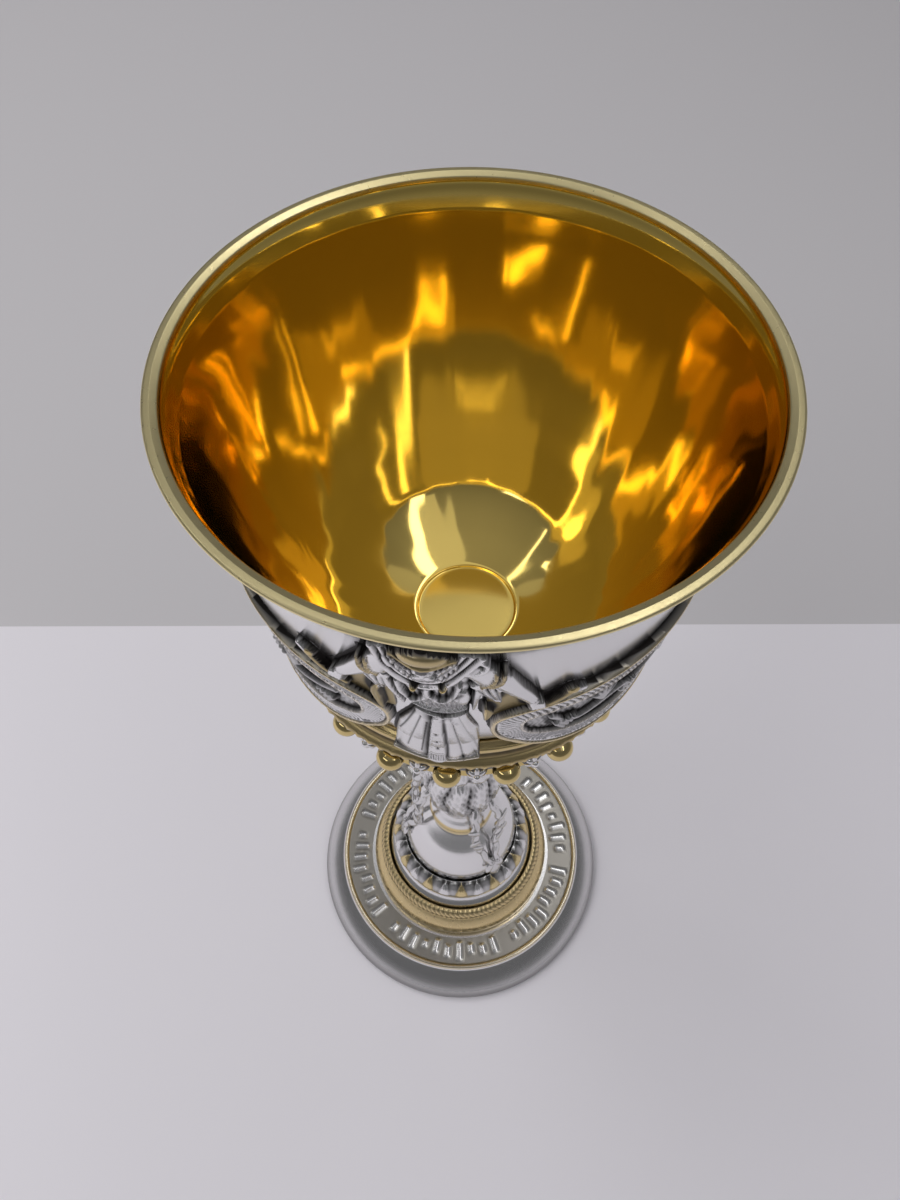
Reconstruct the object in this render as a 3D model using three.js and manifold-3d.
// A parcel-gilt silver goblet. A flared bowl carries three robed figures and three oval cartouches in relief,
// and stands on a gilt collar, a girdle of beads, a calyx, a turned stem with vine brackets and a domed foot.
// Millimetres, +Z up, standing on z = 0, with the first figure towards -Y.
import * as THREE from 'three';
import { mergeVertices } from 'three/addons/utils/BufferGeometryUtils.js';
import Module from 'manifold-3d';

const wasm = await Module();
wasm.setup();

// Heights of the pieces, from the foot up
const footHeight = 46;
const stemLength = 70.7;
const calyxHeight = 17;
const girdleHeight = 8.4;
const collarHeight = 12.4;
const bowlHeight = 58.4;
const bowlSeatRise = 3.7; // bottom of the bowl above the bottom of the collar
const fitGap = 0.3; // between pieces that touch
const castingGap = 0.42; // behind the castings on the bowl, whose backs are flat facets

// Bowl
const rimRadius = 40;
const rimWidth = 2; // band on top of the lip, its inner half bevelled
const rimBevel = 0.5;
const bowlWall = 1;
const bowlFloor = 1.4;

// Collar, girdle and calyx
const collarRadius = 0.76 * rimRadius;
const collarNeckRadius = 0.65 * rimRadius;
const supportBore = 0.58 * rimRadius; // inside of the collar and of the girdle
const girdleRadius = collarNeckRadius;
const beadCount = 17;
const beadCircleRadius = 1.05 * girdleRadius;
const beadRise = 4.4; // centre of the beads above the bottom of the girdle
const ledgeRise = 7.2; // ledge of the collar above its bottom
const beadWidth = 4.7;
const beadHeight = 4;
const calyxWall = 1.6;
const calyxRadius = girdleRadius - calyxWall;
const calyxBaseRadius = 7.6;

// Stem
const knopRadius = 10.8;
const vaseRadius = 9.6;
const stemCollarRadius = 8.4;
const knopLobes = 12;
const bracketCount = 3;
const bracketAngle = 42; // degrees from the front, the middle of the first bracket
const tendrilRadius = 0.9;
const bracketDrop = 9; // how far the brackets reach down the dome
const bracketLeafLength = 7.2;
const bracketLeafWidth = 5.8;
const bracketLeafThickness = 1.8;

// Foot
const footRadius = 41;
const footWall = 1;
const footRingWidth = 3; // flat ring that the cup stands on
const bandRadius = 34.3; // thin gilt line around the band of strokes
const bandHeight = 9.2;
const bandStrokes = 28;
const strokeHeight = 0.45;
const giltRingRadius = 25.4;
const giltRingHeight = 12;
const giltRingWidth = 4.2;
const leafRingRadius = 18.6;
const leafRingRise = 4.7;
const leafCount = 24;
const domeRadius = 15.3;
const domeTopRadius = 7.6;

// Relief
const figureCount = 3;
const reliefRadius = 34; // radius on which widths in the relief are measured
const crownDepth = 2; // depths below the rim
const shoulderDepth = 7.4;
const chinDepth = 10;
const beltDepth = 25;
const hemDepth = 45.5;
const headWidth = 5;
const shoulderHalfWidth = 6.2;
const armReach = 11.9;
const leftHandDepth = 17.7; // the viewer's left
const rightHandDepth = 21.6;
const rodLength = 6.3;
const cartoucheHalfLength = 28.8;
const cartoucheHalfHeight = 11.3;
const cartoucheDepth = 37; // its centre below the rim
const cartoucheRise = 4.5; // how much higher its ends lie than its middle

// Roundness of the turned pieces
const broadSides = 28;
const slimSides = 24;
const ovalSides = 20;

// Levels that follow from the heights
const stemBase = footHeight + fitGap;
const stemTop = stemBase + stemLength;
const calyxBase = stemTop + fitGap;
const calyxTop = calyxBase + calyxHeight;
const girdleBase = calyxTop + fitGap;
const girdleTop = girdleBase + girdleHeight;
const collarBase = girdleTop + fitGap;
const collarTop = collarBase + collarHeight;
const bowlBase = collarBase + bowlSeatRise;
const rimTop = bowlBase + bowlHeight;
const reliefFloorDepth = rimTop - collarTop - fitGap; // where the collar stops the relief

const metal = (color, roughness) => new THREE.MeshStandardMaterial({ color, roughness, metalness: 1 });
const brightSilver = metal(0xd9d9dc, 0.15);
const castSilver = metal(0xb9b9bb, 0.3);
const brightGilt = metal(0xd8b45c, 0.2);
const antiqueGilt = metal(0xa8883c, 0.35);

// Closed solid from a three.js geometry: shared corners merged, collapsed triangles dropped, faces turned out
function solidOf(geometry) {
  const plain = geometry.clone();
  plain.deleteAttribute('normal');
  plain.deleteAttribute('uv');
  const merged = mergeVertices(plain, 1e-4);
  const points = merged.attributes.position.array;
  const corner = (i) => new THREE.Vector3().fromArray(points, 3 * i);
  const faces = [];
  let volume = 0;
  for (let i = 0; i < merged.index.count; i += 3) {
    const [a, b, c] = merged.index.array.slice(i, i + 3);
    if (a === b || b === c || c === a) continue;
    faces.push([a, b, c]);
    volume += corner(a).dot(corner(b).cross(corner(c)));
  }
  const triVerts = new Uint32Array(faces.flatMap(([a, b, c]) => (volume < 0 ? [a, c, b] : [a, b, c])));
  return new wasm.Manifold(new wasm.Mesh({ numProp: 3, vertProperties: new Float32Array(points), triVerts }));
}

function joined(geometries) {
  return geometries.map(solidOf).reduce((whole, piece) => whole.add(piece));
}

function namedMesh(name, solid, material) {
  const result = solid.getMesh();
  const geometry = new THREE.BufferGeometry();
  geometry.setAttribute('position', new THREE.BufferAttribute(new Float32Array(result.vertProperties), 3));
  geometry.setIndex(new THREE.BufferAttribute(new Uint32Array(result.triVerts), 1));
  geometry.computeVertexNormals();
  const mesh = new THREE.Mesh(geometry, material);
  mesh.name = name;
  return mesh;
}

// Moves every vertex of a geometry to the place that a function gives for it
function shaped(geometry, place) {
  const positions = geometry.attributes.position;
  const vertex = new THREE.Vector3();
  for (let i = 0; i < positions.count; i += 1) {
    vertex.fromBufferAttribute(positions, i);
    const moved = place(vertex);
    positions.setXYZ(i, moved.x, moved.y, moved.z);
  }
  return geometry;
}

// Turned form about +Z from [radius, height] pairs; the seam lies at the front
function turned(outline, sides) {
  const points = outline.map(([radius, height]) => new THREE.Vector2(radius, height));
  return new THREE.LatheGeometry(points, sides).rotateX(Math.PI / 2);
}

// The same, with the radius and height of each vertex carved by its angle
function carvedTurning(outline, sides, carve) {
  return shaped(turned(outline, sides), (p) => {
    const angle = Math.atan2(p.x, -p.y);
    const [radius, height] = carve(Math.hypot(p.x, p.y), p.z, angle);
    return atAngle(angle, radius, height);
  });
}

function atAngle(angle, radius, height) {
  return new THREE.Vector3(radius * Math.sin(angle), -radius * Math.cos(angle), height);
}

// Value at x of straight lines through [x, value] stations in rising order of x
function between(stations, x) {
  const last = stations.length - 1;
  if (x <= stations[0][0]) return stations[0][1];
  if (x >= stations[last][0]) return stations[last][1];
  const next = stations.findIndex((station) => station[0] >= x);
  const [x0, v0] = stations[next - 1];
  const [x1, v1] = stations[next];
  return v0 + ((v1 - v0) * (x - x0)) / (x1 - x0);
}

// Outside of the bowl as shares of its rim radius and height, from the lip down to the edge of the flat bottom
const bowlShares = [[1, 0.003], [0.965, 0.034], [0.905, 0.154], [0.842, 0.41], [0.7775, 0.702], [0.73, 0.797],
  [0.6725, 0.873], [0.54, 0.964], [0.25, 1]];
const bowlCurve = new THREE.SplineCurve(
  bowlShares.map(([radius, depth]) => new THREE.Vector2(radius * rimRadius, depth * bowlHeight)),
);
const bowlStations = bowlCurve.getPoints(10).map((point) => [point.y, point.x]);
const bowlRadiusAt = (depth) => between(bowlStations, depth);

function bowl() {
  const outside = bowlStations.map(([depth, radius]) => [radius, rimTop - depth]);
  const floorLevel = bowlBase + bowlFloor;
  const depths = [0.04, 0.2, 0.55, 0.86].map((share) => share * bowlHeight);
  const inside = depths.map((depth) => [bowlRadiusAt(depth) - bowlWall, rimTop - depth]);
  const lip = [
    [rimRadius - rimWidth, rimTop - rimBevel],
    [rimRadius - rimWidth / 2, rimTop],
    [rimRadius - 0.3 * rimBevel, rimTop],
  ];
  const bottomRadius = bowlRadiusAt(0.955 * bowlHeight) - bowlWall;
  const floor = [
    [bottomRadius, floorLevel + 2.9 * bowlWall],
    [0.6 * bottomRadius, floorLevel],
    [0, floorLevel],
  ];
  return solidOf(turned([[0, bowlBase], ...outside.reverse(), ...lip.reverse(), ...inside, ...floor], broadSides));
}

function giltCollar() {
  const seat = [0, 0.4, 0.68].map((share) => {
    const level = collarTop - share * (collarTop - bowlBase - fitGap);
    return [bowlRadiusAt(rimTop - level) + 1.6 * fitGap, level];
  });
  return solidOf(turned([
    ...seat,
    [supportBore, collarBase],
    [collarNeckRadius, collarBase],
    [collarNeckRadius + 0.6, collarBase + 0.5 * ledgeRise],
    [collarRadius, collarBase + ledgeRise - 0.8],
    [collarRadius, collarBase + ledgeRise + 0.5],
    [collarRadius - 0.9, collarBase + ledgeRise + 1.3],
    [collarRadius - 0.7, collarTop],
    seat[0],
  ], broadSides));
}

// Girdle of gilt beads with a silver bud between each two, cast in one
function beadGirdle() {
  const ring = turned([
    [supportBore, girdleBase],
    [girdleRadius, girdleBase],
    [girdleRadius, girdleTop],
    [supportBore, girdleTop],
    [supportBore, girdleBase],
  ], broadSides);
  const pieces = [ring];
  const step = (2 * Math.PI) / beadCount;
  const level = girdleBase + beadRise;
  for (let i = 0; i < beadCount; i += 1) {
    const bead = new THREE.SphereGeometry(1, 6, 3).rotateX(Math.PI / 2);
    bead.scale(beadWidth / 2, beadWidth / 2, beadHeight / 2);
    const bud = new THREE.SphereGeometry(1, 4, 2).rotateX(Math.PI / 2);
    bud.scale(0.46 * beadWidth, 0.46 * beadWidth, 0.66 * beadHeight);
    pieces.push(bead.translate(0, -beadCircleRadius, level).rotateZ(i * step));
    pieces.push(bud.translate(0, 0.6 - beadCircleRadius, level).rotateZ((i + 0.5) * step));
  }
  return joined(pieces);
}

function calyx() {
  const shares = [[1, 1], [0.97, 0.88], [0.72, 0.55], [0.42, 0.25], [0.33, 0.1]];
  const outside = shares.map(([radius, rise]) => [radius * calyxRadius, calyxBase + rise * calyxHeight]);
  const inside = shares.slice(0, 4).map(([radius, rise]) => [
    Math.max(radius * calyxRadius - calyxWall, calyxBaseRadius / 2),
    calyxBase + rise * calyxHeight + (rise < 1 ? 0.7 * calyxWall : 0),
  ]);
  return solidOf(turned([
    [0, calyxBase],
    [calyxBaseRadius, calyxBase],
    ...outside.reverse(),
    ...inside,
    [0, calyxBase + 0.22 * calyxHeight],
  ], slimSides));
}

// Outline of the stem, as radius and share of its length from the foot up
const stemOutline = [[stemCollarRadius, 0], [stemCollarRadius, 0.075], [0.62 * vaseRadius, 0.13], [vaseRadius, 0.29],
  [0.93 * vaseRadius, 0.38], [0.5 * vaseRadius, 0.49], [0.93 * knopRadius, 0.57], [knopRadius, 0.63],
  [0.93 * knopRadius, 0.69], [0.42 * knopRadius, 0.78], [calyxBaseRadius - 0.8, 0.93], [calyxBaseRadius + 1, 0.965],
  [calyxBaseRadius, 1]];

// The knop and the vase below it are carved in upright lobes
function carveStem(radius, height, angle) {
  const share = (height - stemBase) / stemLength;
  const lobed = (share > 0.55 && share < 0.71) || (share > 0.25 && share < 0.4);
  return [radius * (lobed ? 1 + 0.055 * Math.cos(knopLobes * angle) : 1), height];
}

// A vine bracket: two tendrils that leave the vase and meet over the dome in a leaf
function bracket(middleAngle) {
  const clear = tendrilRadius + 2 * fitGap;
  const start = stemBase + 0.27 * stemLength;
  const pieces = [-1, 1].map((side) => {
    const route = [
      [15, 0.92 * vaseRadius, start],
      [17, 1.25 * vaseRadius, start - 0.9 * bracketDrop],
      [15, 1.2 * vaseRadius, footHeight - 0.17 * bracketDrop],
      [3, domeRadiusAt(footHeight - bracketDrop) + clear, footHeight - bracketDrop],
    ].map(([degrees, radius, height]) => (
      atAngle(middleAngle + side * THREE.MathUtils.degToRad(degrees), radius, height)
    ));
    const section = new THREE.Shape(new THREE.EllipseCurve(0, 0, tendrilRadius, tendrilRadius).getPoints(4).slice(1));
    const extrudePath = new THREE.CatmullRomCurve3(route);
    return new THREE.ExtrudeGeometry(section, { steps: 4, extrudePath });
  });
  const leaf = shaped(new THREE.SphereGeometry(1, 4, 2), (p) => {
    const level = footHeight - 1.18 * bracketDrop + 0.5 * bracketLeafLength * p.y;
    const radius = domeRadiusAt(level) + 2 * fitGap + 0.5 * bracketLeafThickness * (1 + p.z);
    return atAngle(middleAngle + (0.5 * bracketLeafWidth * p.x) / domeRadius, radius, level);
  });
  return [...pieces, leaf];
}

function stem() {
  const outline = stemOutline.map(([radius, share]) => [radius, stemBase + share * stemLength]);
  const shaft = carvedTurning([[0, stemBase], ...outline, [0, stemTop]], slimSides, carveStem);
  const pieces = [shaft];
  for (let i = 0; i < bracketCount; i += 1) {
    pieces.push(...bracket(THREE.MathUtils.degToRad(bracketAngle) + (i * 2 * Math.PI) / bracketCount));
  }
  return joined(pieces);
}

// Levels on the foot: the gilt ring stands on the band, the leaf ring below the dome
const giltRingTop = bandHeight + giltRingHeight;
const leafRingBase = giltRingTop + 3.6;
const leafRingTop = leafRingBase + leafRingRise;
const domeRise = footHeight - leafRingTop;
const giltSeatRadius = giltRingRadius - giltRingWidth / 2 - 0.6;
const giltSeatTopRadius = giltRingRadius - giltRingWidth - 1;
const leafSeatRadius = leafRingRadius - 1.6;

// Outside of the dome as [level, radius], rising
const domeStations = [[0, 1], [0.18, 1], [0.42, 0.93], [0.7, 0.76], [0.9, 0.58]].map(([rise, share]) => (
  [leafRingTop + rise * domeRise, share * domeRadius]
));
domeStations.push([footHeight, domeTopRadius]);
const domeRadiusAt = (level) => between(domeStations, level);

function foot() {
  const outside = [
    [footRadius, 0],
    [footRadius, 1.4],
    [footRadius - 1.9, 0.6 * bandHeight],
    [bandRadius + 2, bandHeight - 0.3],
    [bandRadius, bandHeight + 0.6],
    [bandRadius - 1, bandHeight],
    [giltSeatRadius, bandHeight],
    [giltSeatTopRadius, giltRingTop - 1.2],
    [leafRingRadius + 0.2, leafRingBase - 0.4],
    [leafSeatRadius, leafRingBase],
    [domeRadius - 0.5, leafRingTop - 0.3],
    ...domeStations.map(([level, radius]) => [radius, level]),
    [0, footHeight],
  ];
  const inside = [
    [0, footHeight - footWall],
    [domeTopRadius - footWall, footHeight - 1.6 * footWall],
    [0.93 * domeRadius - footWall, leafRingTop + 0.42 * domeRise],
    [domeRadius - 0.5 - footWall, leafRingTop - 0.3],
    [giltSeatTopRadius - footWall, giltRingTop - 2],
    [giltSeatRadius - footWall, bandHeight - footWall],
    [bandRadius + 1, bandHeight - footWall],
    [footRadius - footRingWidth, 1.4],
    [footRadius - footRingWidth, 0],
    [footRadius, 0],
  ];
  return joined([turned([...outside, ...inside], broadSides), ...footStrokes()]);
}

// Shallow upright strokes around the band, long and short by turns
function footStrokes() {
  const inner = giltRingRadius + 1.2;
  const outer = bandRadius - 1.8;
  const strokes = [];
  for (let i = 0; i < bandStrokes; i += 1) {
    const trim = i % 2 ? 0.16 * (outer - inner) : 0;
    const stroke = new THREE.CylinderGeometry(1.3, 1.3, outer - inner - 2 * trim, 3);
    stroke.scale(1, 1, strokeHeight);
    stroke.translate(0, -(inner + outer) / 2, bandHeight);
    strokes.push(stroke.rotateZ(((i + 0.5) * 2 * Math.PI) / bandStrokes));
  }
  return strokes;
}

// Gilt ring of the foot: a smooth swelling below and a cord along its upper edge
function giltRing() {
  const low = bandHeight + fitGap;
  const outline = [
    [giltSeatRadius + fitGap, low],
    [giltRingRadius - 0.3, low],
    [giltRingRadius, low + 0.25 * giltRingHeight],
    [giltRingRadius - 2.8, low + 0.62 * giltRingHeight],
    [giltRingRadius - 2.6, low + 0.76 * giltRingHeight],
    [giltRingRadius - 3.7, low + 0.92 * giltRingHeight],
    [giltSeatTopRadius + 1.2 * fitGap, giltRingTop - 0.8],
    [giltSeatRadius + fitGap, low],
  ];
  return solidOf(turned(outline, broadSides));
}

// Ring of overlapping leaves between the gilt ring and the dome
function leafRing() {
  const low = leafRingBase + fitGap;
  const outline = [
    [leafSeatRadius + 0.2, low],
    [leafRingRadius, low],
    [leafRingRadius - 0.4, low + 0.4 * leafRingRise],
    [domeRadius + 1, leafRingTop],
    [domeRadius + fitGap, leafRingTop],
    [leafSeatRadius + 0.2, low],
  ];
  return solidOf(carvedTurning(outline, 2 * leafCount, (radius, height, angle) => {
    const proud = radius > leafSeatRadius + 0.6 && height < leafRingTop - 0.2;
    return [radius + (proud ? 0.35 * Math.cos(leafCount * angle) : 0), height];
  }));
}

// Place on the bowl: width across and depth below the rim are along the wall, out is away from it
function onBowl({ x: across, y: depth, z: out }) {
  return atAngle(across / reliefRadius, bowlRadiusAt(depth) + castingGap + Math.max(out, 0), rimTop - depth);
}

// Rounded limb along a curve in (across, depth, out), with its radius given along its length; droop widens
// its lower side
function limb(route, radii, sides, steps, droop = 1) {
  const path = new THREE.CatmullRomCurve3(route.map((point) => new THREE.Vector3(...point)));
  const stations = radii.map((radius, i) => [i / (radii.length - 1), radius]);
  return shaped(new THREE.CylinderGeometry(1, 1, 1, sides, steps), (p) => {
    const share = p.y + 0.5;
    const tangent = path.getTangent(share);
    const aside = new THREE.Vector3(tangent.y, -tangent.x, 0).normalize();
    const radius = between(stations, share);
    const reach = radius * p.x * (p.x * aside.y > 0 ? droop : 1);
    return onBowl(path.getPoint(share).addScaledVector(aside, reach).add(new THREE.Vector3(0, 0, radius * p.z)));
  });
}

function ball(centre, halfSizes, around, down) {
  return shaped(new THREE.SphereGeometry(1, around, down), (p) => onBowl({
    x: centre[0] + halfSizes[0] * p.x,
    y: centre[1] - halfSizes[1] * p.y,
    z: centre[2] + halfSizes[2] * p.z,
  }));
}

// Robe from the shoulders to the hem, belted, with pleats in the skirt
function robe() {
  const halfWidths = [[shoulderDepth, 0.86 * shoulderHalfWidth], [shoulderDepth + 3, 1.05 * shoulderHalfWidth],
    [beltDepth - 6, 0.86 * shoulderHalfWidth], [beltDepth, 0.56 * shoulderHalfWidth],
    [beltDepth + 6, 0.96 * shoulderHalfWidth], [hemDepth, 1.05 * shoulderHalfWidth]];
  const thickness = [[shoulderDepth, 0.9], [shoulderDepth + 4, 2], [beltDepth - 4, 2.3], [beltDepth, 1.6],
    [beltDepth + 4, 2.2], [hemDepth - 3, 1.8], [hemDepth, 1.2]];
  return shaped(new THREE.BoxGeometry(2, 1, 1, 6, 5, 1), (p) => {
    const depth = THREE.MathUtils.lerp(hemDepth, shoulderDepth, p.y + 0.5);
    const crown = Math.sqrt(1 - 0.8 * p.x * p.x);
    const pleat = depth > beltDepth + 1 ? 0.3 * Math.cos(3 * Math.PI * p.x) : 0;
    const out = p.z < 0 ? 0 : between(thickness, depth) * crown + pleat;
    const hemWave = p.y < -0.49 ? 0.5 * Math.cos(3 * Math.PI * p.x) : 0;
    return onBowl({ x: p.x * between(halfWidths, depth), y: depth + hemWave, z: out });
  });
}

// One side of the figure: the sleeve, wide below and closed by a cuff, the hand, and the rod that it holds
function armSide(side, handDepth) {
  const shoulder = [side * 0.6 * shoulderHalfWidth, shoulderDepth + 2.4, 1.7];
  const cuff = [side * 0.6 * armReach, shoulderDepth + 4.4, 2.1];
  const wrist = [side * 0.8 * armReach, 0.6 * handDepth + 0.4 * (shoulderDepth + 4.4), 1.9];
  const fingers = [side * armReach, handDepth, 1.8];
  const lowEnd = [side * 0.96 * armReach, handDepth + 0.8, 1.7];
  const tip = [side * (0.96 * armReach + 0.9 * rodLength), handDepth + 0.8 - 0.43 * rodLength, 1.6];
  const arm = limb([shoulder, cuff, wrist, fingers], [2, 2.1, 2.3, 1.1, 1.1], 5, 4, 1.4);
  const rod = limb([lowEnd, tip], [0.75, 0.75], 4, 2);
  return [arm, rod];
}

// Edge of the mantle, which hangs in a curve from shoulder to shoulder
function mantleFold() {
  return limb([
    [-0.9 * shoulderHalfWidth, shoulderDepth + 2, 1.4],
    [0, chinDepth + 4.2, 2.3],
    [0.9 * shoulderHalfWidth, shoulderDepth + 2, 1.4],
  ], [0.7, 0.7], 4, 4);
}

// Head with a plain oval face, a short beard and a low cap
function head() {
  const brow = crownDepth + 3.2;
  const middle = (brow + chinDepth) / 2;
  const face = ball([0, middle, 0.5], [headWidth / 2, 0.6 * (chinDepth - brow), 1.6], 6, 4);
  const nose = ball([0, middle + 0.1, 1.9], [0.4, 0.9, 0.6], 4, 2);
  const beard = ball([0, chinDepth + 0.6, 1.1], [0.34 * headWidth, 1.9, 1.4], 4, 2);
  const cap = ball([0, crownDepth + 1.8, 0.3], [0.56 * headWidth, 1.8, 1.3], 6, 3);
  return [face, nose, beard, cap];
}

function figure() {
  const belt = limb([
    [-0.62 * shoulderHalfWidth, beltDepth, 1],
    [0, beltDepth + 0.6, 2],
    [0.62 * shoulderHalfWidth, beltDepth, 1],
  ], [0.8, 0.8], 4, 3);
  const sashEnd = shaped(new THREE.BoxGeometry(1, 1, 1, 1, 1, 1), (p) => {
    const down = 0.5 - p.y;
    const out = p.z < 0 ? 0.5 : 2.6 - 0.5 * down;
    return onBowl({ x: p.x * (1.4 + 2.4 * down), y: beltDepth + (0.96 * hemDepth - beltDepth) * down, z: out });
  });
  const arms = [...armSide(-1, leftHandDepth), ...armSide(1, rightHandDepth)];
  return joined([robe(), ...arms, mantleFold(), ...head(), belt, sashEnd]);
}

// Oval cartouche with a raised edge, a sunk border and an inner rim around a low boss; its ends bend upwards
function cartouche() {
  const rings = [[0, 1.6], [0.35, 1.5], [0.66, 1.1], [0.72, 1.7], [0.78, 1.1], [0.97, 1.8], [1, 0],
    [0.72, 0.5], [0.36, 0.7], [0, 0.7]];
  const power = 0.83; // below 1 squares the oval
  const plate = shaped(turned(rings, ovalSides), (p) => {
    const ring = Math.hypot(p.x, p.y);
    const share = ring || 1;
    const across = ring * Math.sign(p.x) * Math.abs(p.x / share) ** power;
    const down = ring * Math.sign(p.y) * Math.abs(p.y / share) ** power;
    const depth = cartoucheDepth + down * cartoucheHalfHeight - cartoucheRise * Math.abs(across) ** 3;
    return onBowl({ x: across * cartoucheHalfLength, y: Math.min(depth, reliefFloorDepth), z: p.z });
  });
  return joined([plate, ...vineMotif()]);
}

// Three berries between two leaves
function vineMotif() {
  const berry = 0.2 * cartoucheHalfHeight;
  const berries = [[-1, -0.6], [1, -0.6], [0, 1.1]].map(([across, down]) => (
    ball([across * berry, cartoucheDepth + down * berry, 1.6], [berry, berry, 1.4], 4, 2)
  ));
  const leaves = [-1, 1].map((side) => (
    ball([side * 0.34 * cartoucheHalfLength, cartoucheDepth, 1.4], [2 * berry, 1.4 * berry, 1.3], 4, 2)
  ));
  return [...berries, ...leaves];
}

const goblet = new THREE.Group();
goblet.add(
  namedMesh('bowl', bowl(), brightSilver),
  namedMesh('gilt_collar', giltCollar(), antiqueGilt),
  namedMesh('bead_girdle', beadGirdle(), brightGilt),
  namedMesh('calyx', calyx(), castSilver),
  namedMesh('stem', stem(), castSilver),
  namedMesh('foot', foot(), brightSilver),
  namedMesh('gilt_ring', giltRing(), antiqueGilt),
  namedMesh('leaf_ring', leafRing(), castSilver),
);
const figureSolid = figure();
const cartoucheSolid = cartouche();
for (let i = 0; i < figureCount; i += 1) {
  const turn = (i * 2 * Math.PI) / figureCount;
  const robed = namedMesh(`figure_${i + 1}`, figureSolid, castSilver);
  const oval = namedMesh(`cartouche_${i + 1}`, cartoucheSolid, castSilver);
  robed.rotation.z = turn;
  oval.rotation.z = turn + Math.PI / figureCount;
  goblet.add(robed, oval);
}

export default goblet;
